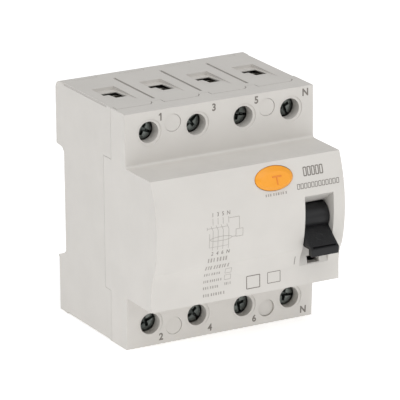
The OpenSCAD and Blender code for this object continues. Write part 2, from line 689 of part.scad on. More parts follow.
on_rail() rear_base();
on_rail() front_cover();
on_rail() cover_plugs();
on_rail() case_screws();
on_rail() toggle_handle();
on_rail() toggle_pin();
on_rail() toggle_spring();
on_rail() toggle_link();
on_rail() mechanism_frame();
on_rail() contact_carrier();
on_rail() carrier_axle();
on_rail() moving_contacts();
on_rail() moving_tips();
on_rail() contact_springs();
on_rail() line_plates();
on_rail() load_plates();
on_rail() fixed_tips();
on_rail() flexible_braids();
on_rail() primary_conductors();
on_rail() sensing_core();
on_rail() core_winding();
on_rail() core_cradle();
on_rail() relay_case();
on_rail() relay_plunger();
on_rail() trip_lever();
on_rail() trip_lever_pin();
on_rail() test_button();
on_rail() test_spring();
on_rail() test_card();
on_rail() test_leaf();
on_rail() test_resistor();
on_rail() sense_wires();
on_rail() rail_clip();
on_rail() clip_spring();
on_rail() terminal_screw(pole_x[0], line_z, 24);  // line_screw_1
on_rail() terminal_screw(pole_x[1], line_z, -38);  // line_screw_2
on_rail() terminal_screw(pole_x[2], line_z, 12);  // line_screw_3
on_rail() terminal_screw(pole_x[3], line_z, 66);  // line_screw_n
on_rail() terminal_screw(pole_x[0], load_z, -20);  // load_screw_1
on_rail() terminal_screw(pole_x[1], load_z, 48);  // load_screw_2
on_rail() terminal_screw(pole_x[2], load_z, 80);  // load_screw_3
on_rail() terminal_screw(pole_x[3], load_z, 8);  // load_screw_n
on_rail() clamp_cage(pole_x[0], line_z);  // line_cage_1
on_rail() clamp_cage(pole_x[1], line_z);  // line_cage_2
on_rail() clamp_cage(pole_x[2], line_z);  // line_cage_3
on_rail() clamp_cage(pole_x[3], line_z);  // line_cage_n
on_rail() clamp_cage(pole_x[0], load_z);  // load_cage_1
on_rail() clamp_cage(pole_x[1], load_z);  // load_cage_2
on_rail() clamp_cage(pole_x[2], load_z);  // load_cage_3
on_rail() clamp_cage(pole_x[3], load_z);  // load_cage_n
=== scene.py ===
import math

import bmesh
import bpy
import numpy as np
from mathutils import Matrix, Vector


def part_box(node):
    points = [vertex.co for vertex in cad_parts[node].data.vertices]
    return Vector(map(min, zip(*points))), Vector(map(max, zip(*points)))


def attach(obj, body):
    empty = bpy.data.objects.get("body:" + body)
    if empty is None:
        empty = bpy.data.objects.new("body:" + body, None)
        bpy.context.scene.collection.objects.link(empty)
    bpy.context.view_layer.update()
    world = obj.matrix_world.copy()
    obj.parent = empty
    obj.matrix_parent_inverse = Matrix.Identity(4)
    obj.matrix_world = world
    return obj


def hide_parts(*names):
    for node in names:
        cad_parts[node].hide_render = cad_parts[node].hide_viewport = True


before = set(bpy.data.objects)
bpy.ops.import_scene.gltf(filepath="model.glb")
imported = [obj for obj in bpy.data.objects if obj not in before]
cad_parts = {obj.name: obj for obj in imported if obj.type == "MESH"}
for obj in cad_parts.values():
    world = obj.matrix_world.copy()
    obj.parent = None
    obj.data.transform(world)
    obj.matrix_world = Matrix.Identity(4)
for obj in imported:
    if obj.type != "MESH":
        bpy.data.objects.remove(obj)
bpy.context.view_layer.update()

# ---- sizes, in millimetres in the case frame ---------------------------------------------
# x runs across the device from its middle, y back from the terminal face, z up from the
# bottom edge. placed() turns these into metres in the shared frame.
MM = 0.001
POLE_W = 17.8
CASE_DEPTH = 50.0
MID_LO, MID_HI = 18.4, 63.4
LEAN = 1.2
SEAM_TOP, SEAM_MID, SEAM_LOW = 10.0, 15.5, 11.6
STEP_LO, STEP_HI = 18.0, 64.0

base_lo, base_hi = (np.array(corner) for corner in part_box("rear_base"))
ORIGIN = np.array([0.0, base_hi[1] - CASE_DEPTH * MM, base_lo[2]])
CASE_H = (base_hi[2] - base_lo[2]) / MM
SIDE_X = base_hi[0] / MM
POLE_X = (np.arange(4) - 1.5) * POLE_W

# bulging front, from the flat strip at its foot up to the ledge
FACE_Y, HOLLOW_R, HOLLOW_Z = -16.8, 14.6, 24.0
CREASE_Z, NOSE_R, NOSE_Y, NOSE_Z = 31.8, 46.0, -21.0, 45.0

LINE_Z, LOAD_Z = 74.5, 7.8
TOGGLE_X = 25.8
PIVOT = np.array([-13.9, 41.2])
REST_ANGLE = math.radians(37.7)
BUTTON_AT, BUTTON_SIZE = (9.4, 58.2), (14.2, 7.8)
HEAD_Y, HEAD_T, SCREW_R, SCREW_TIP = 4.5, 2.9, 2.5, 20.15
THREAD_PITCH = 0.8
CORE_Y, CORE_Z, CORE_R, CORE_BORE, CORE_H = 22.0, 28.5, 17.2, 10.6, 10.0


def placed(points):
    """Case-frame millimetres to shared-frame metres."""
    return np.asarray(points, float) * MM + ORIGIN


def front_y(z):
    """Depth of the bulging front at height z: hollow arc below the crease, convex arc above it."""
    z = np.asarray(z, float)
    hollow = FACE_Y - HOLLOW_R + np.sqrt(HOLLOW_R**2 - np.clip(z - HOLLOW_Z, 0, HOLLOW_R) ** 2)
    nose = NOSE_Y + NOSE_R - np.sqrt(NOSE_R**2 - (z - NOSE_Z) ** 2)
    return np.where(z < CREASE_Z, hollow, nose)


def terminal_y(z):
    """Depth of the terminal faces at height z: upright above, leaning back towards the bottom."""
    z = np.asarray(z, float)
    return np.where(z < MID_LO, LEAN * (1 - z / MID_LO), 0.0)


# ---- camera and light --------------------------------------------------------------------
AIM = Vector((0.0, -0.03461, 0.00163))
DISTANCE = 1.31066
AZIMUTH, ELEVATION, ROLL = (math.radians(a) for a in (28.864, 17.798, -0.501))
SENSOR, LENS = 36.0, 351.924
SHIFT = (-0.0162, 0.0195)
LAMP_DISTANCE = 1.6


def add_camera():
    """Camera on a sphere round the aim point, rolled about its own line of sight."""
    flat = math.cos(ELEVATION)
    back = Vector((-math.sin(AZIMUTH) * flat, -math.cos(AZIMUTH) * flat, math.sin(ELEVATION)))
    right = (-back).cross(Vector((0, 0, 1))).normalized()
    up = right.cross(-back)
    axis_x = right * math.cos(ROLL) + up * math.sin(ROLL)
    axis_y = up * math.cos(ROLL) - right * math.sin(ROLL)
    data = bpy.data.cameras.new("camera")
    data.sensor_width = SENSOR
    data.lens = LENS
    data.shift_x, data.shift_y = SHIFT
    data.clip_start = 0.01
    camera = bpy.data.objects.new("camera", data)
    turn = camera.matrix_world.to_3x3()
    for row in range(3):
        turn[row] = (axis_x[row], axis_y[row], back[row])
    camera.matrix_world = turn.to_4x4()
    camera.location = AIM + back * DISTANCE
    bpy.context.scene.collection.objects.link(camera)
    bpy.context.scene.camera = camera


def add_softbox(name, azimuth, elevation, size, power):
    """Square area light on a sphere round the device, facing it."""
    a, e = math.radians(azimuth), math.radians(elevation)
    back = Vector((-math.sin(a) * math.cos(e), -math.cos(a) * math.cos(e), math.sin(e)))
    data = bpy.data.lights.new(name, "AREA")
    data.shape = "SQUARE"
    data.size = size
    data.energy = power
    lamp = bpy.data.objects.new(name, data)
    lamp.location = back * LAMP_DISTANCE
    lamp.rotation_euler = back.to_track_quat("Z", "Y").to_euler()
    bpy.context.scene.collection.objects.link(lamp)


add_camera()
bpy.context.scene.view_settings.view_transform = "Standard"

# ---- materials ---------------------------------------------------------------------------


def new_material(name):
    material = bpy.data.materials.new(name)
    material.use_nodes = True
    return material, material.node_tree.nodes, material.node_tree.links


def object_noise(nodes, links, per_metre, detail=3.0, squeeze=(1, 1, 1)):
    """Noise on Object coordinates; per_metre is how many blotches fit in a metre."""
    where = nodes.new("ShaderNodeTexCoord")
    turn = nodes.new("ShaderNodeMapping")
    turn.inputs["Scale"].default_value = squeeze
    noise = nodes.new("ShaderNodeTexNoise")
    noise.inputs["Scale"].default_value = per_metre
    noise.inputs["Detail"].default_value = detail
    links.new(where.outputs["Object"], turn.inputs["Vector"])
    links.new(turn.outputs["Vector"], noise.inputs["Vector"])
    return noise.outputs["Fac"]


def ramp(nodes, links, source, stops):
    """Colour ramp over source; stops are (place, colour or grey)."""
    node = nodes.new("ShaderNodeValToRGB")
    while len(node.color_ramp.elements) < len(stops):
        node.color_ramp.elements.new(0.5)
    for element, (place, value) in zip(node.color_ramp.elements, stops):
        element.position = place
        element.color = (*value, 1.0) if isinstance(value, tuple) else (value, value, value, 1.0)
    links.new(source, node.inputs["Fac"])
    return node.outputs["Color"]


def add_bump(nodes, links, shader, height, depth_mm):
    """Relief from a height value, for light only."""
    bump = nodes.new("ShaderNodeBump")
    bump.inputs["Distance"].default_value = depth_mm * MM
    bump.inputs["Strength"].default_value = 1.0
    links.new(height, bump.inputs["Height"])
    links.new(bump.outputs["Normal"], shader.inputs["Normal"])


def shifted(colour, factor):
    return tuple(min(1.0, c * factor) for c in colour)


def moulded(name, colour, rough=0.42, grain_mm=0.25, depth_mm=0.004, drift=0.02, specular=0.4):
    """Moulded plastic: faint cloudy drift of the colour, a fine spark-eroded grain, and a sheen
    that varies a little from place to place."""
    material, nodes, links = new_material(name)
    shader = nodes["Principled BSDF"]
    cloud = object_noise(nodes, links, 90, 4)
    tints = [(0.3, shifted(colour, 1 - drift)), (0.7, shifted(colour, 1 + drift))]
    links.new(ramp(nodes, links, cloud, tints), shader.inputs["Base Color"])
    mottle = object_noise(nodes, links, 420, 5)
    sheen = [(0.3, rough - 0.05), (0.7, rough + 0.05)]
    links.new(ramp(nodes, links, mottle, sheen), shader.inputs["Roughness"])
    shader.inputs["Specular IOR Level"].default_value = specular
    grain = object_noise(nodes, links, 1 / (grain_mm * MM), 4)
    add_bump(nodes, links, shader, grain, depth_mm)
    return material


def metal(name, colour, rough=0.35, lay=(1, 1, 1), scratch=1500, depth_mm=0.003, tarnish=0.12):
    """Bare or plated metal: tarnish in soft blotches, and fine marks drawn out along one way."""
    material, nodes, links = new_material(name)
    shader = nodes["Principled BSDF"]
    shader.inputs["Metallic"].default_value = 1.0
    blotch = object_noise(nodes, links, 260, 5)
    tints = [(0.32, shifted(colour, 1 - tarnish)), (0.68, shifted(colour, 1 + tarnish))]
    links.new(ramp(nodes, links, blotch, tints), shader.inputs["Base Color"])
    marks = object_noise(nodes, links, scratch, 6, lay)
    sheen = [(0.35, rough - 0.1), (0.65, rough + 0.12)]
    links.new(ramp(nodes, links, marks, sheen), shader.inputs["Roughness"])
    add_bump(nodes, links, shader, marks, depth_mm)
    return material


def ink(name, colour):
    """Pad-printed ink: slightly uneven where the print is thin."""
    material, nodes, links = new_material(name)
    shader = nodes["Principled BSDF"]
    patchy = object_noise(nodes, links, 2600, 4)
    tints = [(0.35, colour), (0.75, shifted(colour, 1.35))]
    links.new(ramp(nodes, links, patchy, tints), shader.inputs["Base Color"])
    shader.inputs["Roughness"].default_value = 0.6
    return material


def woven_copper(name):
    """Flat braid: two crossing sets of fine strands."""
    material, nodes, links = new_material(name)
    shader = nodes["Principled BSDF"]
    shader.inputs["Metallic"].default_value = 1.0
    shader.inputs["Roughness"].default_value = 0.38
    where = nodes.new("ShaderNodeTexCoord")
    weave = nodes.new("ShaderNodeTexChecker")
    weave.inputs["Scale"].default_value = 2600
    weave.inputs["Color1"].default_value = (0.72, 0.36, 0.2, 1)
    weave.inputs["Color2"].default_value = (0.5, 0.22, 0.11, 1)
    links.new(where.outputs["Object"], weave.inputs["Vector"])
    links.new(weave.outputs["Color"], shader.inputs["Base Color"])
    add_bump(nodes, links, shader, weave.outputs["Fac"], 0.05)
    return material


def circuit_board(name):
    """Green laminate with paler copper tracks under the lacquer."""
    material, nodes, links = new_material(name)
    shader = nodes["Principled BSDF"]
    where = nodes.new("ShaderNodeTexCoord")
    tracks = nodes.new("ShaderNodeTexBrick")
    tracks.inputs["Scale"].default_value = 260
    tracks.inputs["Mortar Size"].default_value = 0.06
    tracks.inputs["Color1"].default_value = (0.02, 0.12, 0.05, 1)
    tracks.inputs["Color2"].default_value = (0.025, 0.14, 0.06, 1)
    tracks.inputs["Mortar"].default_value = (0.08, 0.26, 0.1, 1)
    links.new(where.outputs["Object"], tracks.inputs["Vector"])
    links.new(tracks.outputs["Color"], shader.inputs["Base Color"])
    shader.inputs["Roughness"].default_value = 0.3
    add_bump(nodes, links, shader, tracks.outputs["Fac"], -0.02)
    return material


def banded(name, centre_x, half_length):
    """Resistor body: ceramic cream with rings of colour along X."""
    material, nodes, links = new_material(name)
    shader = nodes["Principled BSDF"]
    where = nodes.new("ShaderNodeTexCoord")
    split = nodes.new("ShaderNodeSeparateXYZ")
    links.new(where.outputs["Object"], split.inputs["Vector"])
    span = nodes.new("ShaderNodeMapRange")
    span.inputs["From Min"].default_value = centre_x - half_length
    span.inputs["From Max"].default_value = centre_x + half_length
    links.new(split.outputs["X"], span.inputs["Value"])
    cream = (0.62, 0.52, 0.36)
    stops = [(0.0, cream), (0.2, (0.3, 0.12, 0.03)), (0.3, cream), (0.4, (0.02, 0.02, 0.02)),
             (0.5, cream), (0.6, (0.45, 0.05, 0.02)), (0.7, cream), (0.85, (0.55, 0.4, 0.1)), (0.93, cream)]
    rings = nodes.new("ShaderNodeValToRGB")
    rings.color_ramp.interpolation = "CONSTANT"
    while len(rings.color_ramp.elements) < len(stops):
        rings.color_ramp.elements.new(0.5)
    for element, (place, value) in zip(rings.color_ramp.elements, stops):
        element.position = place
        element.color = (*value, 1.0)
    links.new(span.outputs["Result"], rings.inputs["Fac"])
    links.new(rings.outputs["Color"], shader.inputs["Base Color"])
    shader.inputs["Roughness"].default_value = 0.35
    add_bump(nodes, links, shader, object_noise(nodes, links, 3000), 0.01)
    return material


CASE_GREY = (0.612, 0.590, 0.558)
LOOKS = {
    "cover_plastic": moulded("cover_plastic", CASE_GREY),
    "base_plastic": moulded("base_plastic", shifted(CASE_GREY, 0.985), rough=0.46),
    "plug_plastic": moulded("plug_plastic", CASE_GREY, rough=0.38),
    "clip_plastic": moulded("clip_plastic", shifted(CASE_GREY, 0.93)),
    "black_plastic": moulded("black_plastic", (0.008, 0.008, 0.009), rough=0.38, depth_mm=0.008, drift=0.1,
                             specular=0.32),
    "orange_plastic": moulded("orange_plastic", (0.84, 0.335, 0.022), rough=0.36, drift=0.03),
    # darker orange for the raised T on the button: painted shade, standing in for the shade its low relief
    # would show
    "orange_letter_painted_shade": moulded("orange_letter_painted_shade", (0.74, 0.24, 0.03), rough=0.4, drift=0.03),
    "carrier_plastic": moulded("carrier_plastic", (0.06, 0.075, 0.09)),
    "cradle_plastic": moulded("cradle_plastic", (0.72, 0.71, 0.64)),
    "relay_plastic": moulded("relay_plastic", (0.022, 0.027, 0.04), rough=0.34),
    "zinc_steel": metal("zinc_steel", (0.15, 0.165, 0.155), rough=0.46, scratch=2600, depth_mm=0.03,
                        tarnish=0.5),
    "cage_steel": metal("cage_steel", (0.42, 0.41, 0.37), rough=0.38, lay=(1, 8, 1)),
    "bright_steel": metal("bright_steel", (0.6, 0.61, 0.62), rough=0.26, lay=(1, 1, 10)),
    "spring_steel": metal("spring_steel", (0.5, 0.5, 0.52), rough=0.22),
    "copper": metal("copper", (0.78, 0.4, 0.24), rough=0.3, lay=(1, 1, 12), tarnish=0.18),
    "contact_silver": metal("contact_silver", (0.8, 0.8, 0.78), rough=0.24),
    "brass_leaf": metal("brass_leaf", (0.78, 0.58, 0.26), rough=0.25, lay=(12, 1, 1)),
    "core_alloy": metal("core_alloy", (0.16, 0.16, 0.18), rough=0.4, lay=(1, 1, 14), scratch=1100),
    "winding_wire": metal("winding_wire", (0.62, 0.22, 0.09), rough=0.24, tarnish=0.08),
    "card_laminate": circuit_board("card_laminate"),
    "resistor_body": banded("resistor_body", placed([-5.0, 0, 0])[0], 5.0 * MM),
    "wire_red": moulded("wire_red", (0.5, 0.02, 0.015), rough=0.3),
    "braid": woven_copper("braid"),
    "print_grey": ink("print_grey", (0.16, 0.145, 0.13)),
    "print_fine": ink("print_fine", (0.3, 0.28, 0.26)),
}

# ---- making pieces -----------------------------------------------------------------------


def link_piece(mesh, look, body, stands_for=()):
    """Puts a mesh in the scene as a piece that rides on a body and may stand for CAD nodes."""
    piece = bpy.data.objects.new(mesh.name, mesh)
    bpy.context.scene.collection.objects.link(piece)
    mesh.materials.clear()
    mesh.materials.append(LOOKS[look])
    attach(piece, body)
    if stands_for:
        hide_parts(*stands_for)
    return piece


def shade(mesh, angle=32):
    mesh.shade_smooth()
    mesh.set_sharp_from_angle(angle=math.radians(angle))


def surface(name, points, faces):
    """Mesh of case-frame points (n, 3) and faces (m, k)."""
    mesh = bpy.data.meshes.new(name)
    mesh.from_pydata(placed(points).tolist(), [], [tuple(f) for f in faces])
    mesh.validate()
    return mesh


def fix_outward(mesh):
    """Turns every closed shell of a mesh so that its faces point outwards."""
    work = bmesh.new()
    work.from_mesh(mesh)
    bmesh.ops.recalc_face_normals(work, faces=work.faces)
    work.to_mesh(mesh)
    work.free()


def grid_faces(rows, cols):
    """Quads of a grid of points stored row by row, whose columns close on themselves."""
    r, c = np.meshgrid(np.arange(rows - 1), np.arange(cols), indexing="ij")
    a = r * cols + c
    b = r * cols + (c + 1) % cols
    return np.stack([a, b, b + cols, a + cols], -1).reshape(-1, 4)


def capped(faces, rows, cols):
    """The quads of a wrapped grid, with its first and last row closed by one face each."""
    first = list(range(cols))[::-1]
    last = list(range((rows - 1) * cols, rows * cols))
    return [*faces.tolist(), first, last]


def tube(path, radius, sides, up):
    """Round wire: a ring of points carried along path, square to it; up is never along the path."""
    along = np.gradient(path, axis=0)
    along /= np.linalg.norm(along, axis=1, keepdims=True)
    across = np.cross(along, up)
    across /= np.linalg.norm(across, axis=1, keepdims=True)
    third = np.cross(across, along)
    turn = np.linspace(0, 2 * np.pi, sides, endpoint=False)[None, :, None]
    rings = path[:, None] + radius * (np.cos(turn) * across[:, None] + np.sin(turn) * third[:, None])
    return rings.reshape(-1, 3), capped(grid_faces(len(path), sides), len(path), sides)


def joined(parts):
    """Several (points, faces) as one."""
    points, faces, start = [], [], 0
    for p, f in parts:
        points.append(np.asarray(p, float))
        faces += [[i + start for i in face] for face in f]
        start += len(p)
    return np.vstack(points), faces


def merged_cad(node):
    """bmesh of a CAD node's faces with their shared corners merged and flat faces joined up."""
    work = bmesh.new()
    work.from_mesh(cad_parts[node].data)
    bmesh.ops.remove_doubles(work, verts=work.verts, dist=2e-6)
    bmesh.ops.dissolve_degenerate(work, dist=2e-6, edges=work.edges)
    bmesh.ops.dissolve_limit(work, angle_limit=math.radians(0.5), verts=work.verts, edges=work.edges)
    return work


def sharp_edges(work, rule, least=25):
    """Edges that fold by more than least degrees and whose two ends, in case-frame mm, obey rule."""
    found = []
    for edge in work.edges:
        if len(edge.link_faces) == 2 and edge.calc_face_angle(0) > math.radians(least):
            a, b = ((np.array(v.co) - ORIGIN) / MM for v in edge.verts)
            if rule(a, b):
                found.append(edge)
    return found


def rounded_copy(node, look, body, steps):
    """A CAD node's shape with its moulded edges rounded: each step is (rule, radius mm, segments)."""
    work = merged_cad(node)
    for rule, radius, segments in steps:
        edges = sharp_edges(work, rule)
        if edges:
            bmesh.ops.bevel(work, geom=edges, offset=radius * MM, offset_type="OFFSET", segments=segments,
                            profile=0.5, affect="EDGES", clamp_overlap=True, loop_slide=True)
    mesh = bpy.data.meshes.new(node + "_moulded")
    work.to_mesh(mesh)
    work.free()
    shade(mesh)
    piece = link_piece(mesh, look, body, stands_for=(node,))
    even = piece.modifiers.new("even_normals", "WEIGHTED_NORMAL")
    even.keep_sharp = True


def anywhere(a, b):
    return True


def both(test):
    """A rule that asks the same of both ends of an edge."""
    return lambda a, b: test(a) and test(b)


# ---- the case ----------------------------------------------------------------------------


def near(value, target, slack=0.03):
    return abs(value - target) < slack


def in_front_of_seam(p):
    seam = SEAM_TOP if p[2] > STEP_HI - 0.2 else (SEAM_MID if p[2] > STEP_LO - 0.2 else SEAM_LOW)
    return p[1] < seam - 0.5


def at_side(p):
    return near(abs(p[0]), SIDE_X)


def cover_outline(a, b):
    """Side edges of the front, and the long edges across it."""
    if not (in_front_of_seam(a) or in_front_of_seam(b)):
        return False
    if at_side(a) and at_side(b) and a[0] * b[0] > 0:
        return True
    across = abs(a[0] - b[0]) > 50
    return across and not near(a[1], 1.8, 0.3) and a[1] < 9


def on_terminal_face(p):
    return p[1] < terminal_y(p[2]) + 0.36 and (p[2] > MID_HI + 2 or p[2] < MID_LO - 0.8)


def round_rim(a, b):
    """Rims of the driver holes and plug sockets."""
    return on_terminal_face(a) and on_terminal_face(b) and abs(a[0]) < 33 and abs(b[0]) < 33


def well_rim(a, b):
    """Edges of the toggle well and the button hole on the bulging front."""
    def on_front(p):
        return MID_LO < p[2] < MID_HI and p[1] < -14 and abs(p[0]) < 33 and abs(p[1] - front_y(p[2])) < 0.05
    return on_front(a) and on_front(b)


rounded_copy("front_cover", "cover_plastic", "case", [
    (cover_outline, 0.45, 3),
    (well_rim, 0.2, 2),
    (round_rim, 0.06, 2),
])


def base_outline(a, b):
    """Long outer edges of the base: down the sides, across the back and round the rail recess."""
    side = at_side(a) and at_side(b) and a[0] * b[0] > 0 and (a[1] > 16.2 or b[1] > 16.2)
    across = abs(a[0] - b[0]) > 14 and min(a[1], b[1]) > 44.3
    return side or across


RAMP_Y, RAMP_DROP = (14.5, 32.8), 1.3


def wire_edges(a, b):
    """Edges of the wire ramps, mouths and barrier slots where they meet the top and bottom faces."""
    def on_face(p):
        depth = min(CASE_H - p[2], p[2])
        ramp = RAMP_DROP * (p[1] - RAMP_Y[0]) / (RAMP_Y[1] - RAMP_Y[0])
        inside = SEAM_TOP + 0.5 < p[1] < 44.5 and abs(p[0]) < SIDE_X - 0.5
        return inside and (depth < 0.02 or near(depth, ramp))
    return on_face(a) and on_face(b)


rounded_copy("rear_base", "base_plastic", "case", [
    (base_outline, 0.4, 3),
    (wire_edges, 0.12, 2),
])
rounded_copy("cover_plugs", "plug_plastic", "case", [(anywhere, 0.15, 2)])
rounded_copy("case_screws", "zinc_steel", "case", [(anywhere, 0.08, 2)])
rounded_copy("rail_clip", "clip_plastic", "clip", [(anywhere, 0.25, 2)])

# ---- toggle ------------------------------------------------------------------------------
rounded_copy("toggle_handle", "black_plastic", "toggle", [(anywhere, 0.28, 3)])


def on_lever(x, along, above):
    """A point given on the lever: x across, along it from the pivot to the tip, above its upper face."""
    x, along, above = np.broadcast_arrays(np.asarray(x, float), along, above)
    y = -along * math.cos(REST_ANGLE) - above * math.sin(REST_ANGLE)
    z = -along * math.sin(REST_ANGLE) + above * math.cos(REST_ANGLE)
    return np.stack([x + TOGGLE_X, y + PIVOT[0], z + PIVOT[1]], -1)


THUMB = 8.7  # how far along the lever the middle of its thumb face lies


def lever_ring():
    """Raised ring on the thumb face: a small flattened round section carried round a circle."""
    steps, sides = 48, 10
    turn = np.linspace(0, 2 * np.pi, steps, endpoint=False)[:, None]
    section = np.linspace(0, 2 * np.pi, sides, endpoint=False)[None, :]
    reach = 1.35 + 0.22 * np.cos(section)
    points = on_lever(reach * np.cos(turn), THUMB + reach * np.sin(turn), 0.13 * np.sin(section) + 0.0 * turn)
    rows = np.arange(steps * sides).reshape(steps, sides)
    after = np.roll(rows, -1, 0)
    faces = np.stack([rows, np.roll(rows, -1, 1), np.roll(after, -1, 1), after], -1).reshape(-1, 4)
    return points.reshape(-1, 3), faces[:, ::-1]


def lever_grain():
    """Rows of low pips over the thumb face, each a four-sided pyramid with its top cut off."""
    pitch = 0.46
    across, along = np.meshgrid(np.arange(-4.6, 4.61, pitch), np.arange(5.5, 12.2, pitch), indexing="ij")
    across = across + pitch / 2 * (np.arange(across.shape[1]) % 2)[None, :]
    keep = (np.hypot(across, along - THUMB) > 1.7) & (np.abs(across) < 4.75)
    centre = np.stack([across[keep], along[keep]], -1)
    corner = np.array([[-1, -1], [1, -1], [1, 1], [-1, 1]], float)
    low = centre[:, None] + 0.15 * corner
    high = centre[:, None] + 0.07 * corner
    flat = np.concatenate([low, high], 1)
    height = np.tile(np.repeat([-0.05, 0.07], 4), (len(centre), 1))
    points = on_lever(flat[..., 0], flat[..., 1], height).reshape(-1, 3)
    block = np.array([[0, 1, 5, 4], [1, 2, 6, 5], [2, 3, 7, 6], [3, 0, 4, 7], [4, 5, 6, 7], [3, 2, 1, 0]])
    faces = (block[None] + 8 * np.arange(len(centre))[:, None, None]).reshape(-1, 4)
    return points, faces[:, ::-1]


def lever_details():
    points, faces = joined([lever_ring(), lever_grain()])
    mesh = surface("toggle_thumb_grip", points, faces)
    fix_outward(mesh)
    shade(mesh, 40)
    link_piece(mesh, "black_plastic", "toggle")


lever_details()

# ---- test button -------------------------------------------------------------------------
BUTTON_RISE = 1.35


def test_button():
    """Oval pusher as one skin: rings of growing ovals from the middle of its face out over the
    plateau, down the chamfer and the low brim, back along the wall to the flange, and in to the
    round stem."""
    sides = 96
    turn = np.linspace(0, 2 * np.pi, sides, endpoint=False)
    rx, rz = BUTTON_SIZE[0] / 2, BUTTON_SIZE[1] / 2
    plateau_x, plateau_z, top = rx - 1.35, rz - 1.2, BUTTON_RISE
    follow = [  # half width, half height, and how far the ring stands proud of the front
        (0.02, 0.02, top - 0.02), (1.5, 0.7, top - 0.01), (3.0, 1.35, top), (4.4, 1.9, top),
        (plateau_x - 0.35, plateau_z - 0.3, top), (plateau_x - 0.1, plateau_z - 0.1, top - 0.04),
        (plateau_x + 0.05, plateau_z + 0.05, top - 0.15), (rx - 0.3, rz - 0.3, 0.42),
        (rx - 0.12, rz - 0.12, 0.3), (rx - 0.03, rz - 0.03, 0.15), (rx, rz, 0.0), (rx, rz, -0.4)]
    level = [  # half width, half height, and depth once inside the case
        (rx, rz, -14.0), (rx, rz, -12.5), (rx + 0.3, rz + 0.3, -12.4), (rx + 1.0, rz + 0.9, -12.4),
        (rx + 1.0, rz + 0.9, -11.35), (rx + 0.9, rz + 0.8, -11.3), (2.2, 2.2, -11.3), (1.55, 1.55, -11.25),
        (1.5, 1.5, -11.0), (1.5, 1.5, -5.0), (1.4, 1.4, -4.75), (1.2, 1.2, -4.7), (0.02, 0.02, -4.7)]
    rings = []
    for a, b, rise in follow:
        x, z = a * np.cos(turn), b * np.sin(turn)
        rings.append(np.stack([BUTTON_AT[0] + x, front_y(BUTTON_AT[1] + z) - rise, BUTTON_AT[1] + z], -1))
    for a, b, y in level:
        x, z = a * np.cos(turn), b * np.sin(turn)
        rings.append(np.stack([BUTTON_AT[0] + x, np.full(sides, y), BUTTON_AT[1] + z], -1))
    count = len(rings)
    mesh = surface("test_button_cap", np.concatenate(rings), capped(grid_faces(count, sides), count, sides))
    fix_outward(mesh)
    shade(mesh, 60)
    link_piece(mesh, "orange_plastic", "button", ("test_button",))


def soft_bar(x0, x1, z0, z1, depth, rise, skin):
    """Raised bar with rounded edges over a curved skin: nested outlines stepping up and in."""
    steps = [(0.0, -depth), (0.0, rise * 0.6), (0.04, rise * 0.9), (0.1, rise)]
    rings = []
    for inset, height in steps:
        xs = np.array([x0 + inset, x1 - inset, x1 - inset, x0 + inset])
        zs = np.array([z0 + inset, z0 + inset, z1 - inset, z1 - inset])
        edge = np.linspace(0, 1, 8, endpoint=False)[None, :, None]
        outline = np.stack([xs, zs], -1)
        loop = (outline[:, None] * (1 - edge) + np.roll(outline, -1, 0)[:, None] * edge).reshape(-1, 2)
        rings.append(np.stack([loop[:, 0], skin(loop[:, 1]) - height, loop[:, 1]], -1))
    sides = rings[0].shape[0]
    return np.concatenate(rings), capped(grid_faces(len(rings), sides), len(rings), sides)


def button_letter():
    """Letter T raised on the plateau of the button, coloured a darker orange as painted shade for the raised
    letter.
    """
    x, z = BUTTON_AT[0] + 0.5, BUTTON_AT[1] - 0.3
    skin = lambda height: front_y(height) - BUTTON_RISE
    parts = [soft_bar(x - 1.75, x + 1.75, z + 0.95, z + 1.4, 0.1, 0.2, skin),
             soft_bar(x - 0.22, x + 0.22, z - 1.5, z + 1.1, 0.1, 0.198, skin)]
    mesh = surface("test_button_letter", *joined(parts))
    fix_outward(mesh)
    shade(mesh, 50)
    # the darker orange here is painted shade on the letter
    link_piece(mesh, "orange_letter_painted_shade", "button")


test_button()
button_letter()

# ---- terminals ---------------------------------------------------------------------------


def threaded_shank(x, z):
    """Screw thread: radius rises and falls once per pitch along the shank and once round it."""
    steps, per_turn = 150, 28
    length = SCREW_TIP - HEAD_Y - HEAD_T - 0.05
    depth = np.linspace(0, 1, steps)[:, None]
    around = np.linspace(0, 2 * np.pi, per_turn, endpoint=False)[None, :]
    phase = depth * length / THREAD_PITCH - around / (2 * np.pi)
    crest = 1 - np.abs(2 * (phase % 1.0) - 1)
    taper = np.clip((1 - depth) * 16, 0, 1)
    radius = (SCREW_R - 0.42 * (1 - crest)) * (0.8 + 0.2 * taper)
    y = HEAD_Y + HEAD_T + 0.02 + depth * length + 0 * around
    points = np.stack([x + radius * np.cos(around), y, z + radius * np.sin(around)], -1)
    rows = points.shape[0]
    return points.reshape(-1, 3), capped(grid_faces(rows, per_turn), rows, per_turn)


def terminal_screw(node, x, z):
    """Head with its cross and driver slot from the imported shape, its shank slimmed to lie inside
    the thread, and a separate helical thread over it."""
    work = merged_cad(node)
    shank_start, slimming = HEAD_Y + HEAD_T + 0.2, 0.3
    for vert in work.verts:
        p = (np.array(vert.co) - ORIGIN) / MM
        if p[1] > shank_start:
            out = np.array([p[0] - x, 0, p[2] - z])
            vert.co = Vector(placed(p - out * slimming))
    edges = sharp_edges(work, both(lambda p: p[1] < shank_start))
    bmesh.ops.bevel(work, geom=edges, offset=0.12 * MM, offset_type="OFFSET", segments=2, profile=0.5,
                    affect="EDGES", clamp_overlap=True, loop_slide=True)
    mesh = bpy.data.meshes.new(node + "_head")
    work.to_mesh(mesh)
    work.free()
    shade(mesh, 35)
    link_piece(mesh, "zinc_steel", node, (node,))
    thread = surface(node + "_thread", *threaded_shank(x, z))
    fix_outward(thread)
    shade(thread, 50)
    link_piece(thread, "zinc_steel", node)


for row, height in (("line", LINE_Z), ("load", LOAD_Z)):
    for pole, x in zip("123n", POLE_X):
        terminal_screw(f"{row}_screw_{pole}", x, height)
        rounded_copy(f"{row}_cage_{pole}", "cage_steel", f"{row}_cage_{pole}", [(anywhere, 0.15, 2)])

# ---- springs and wire --------------------------------------------------------------------


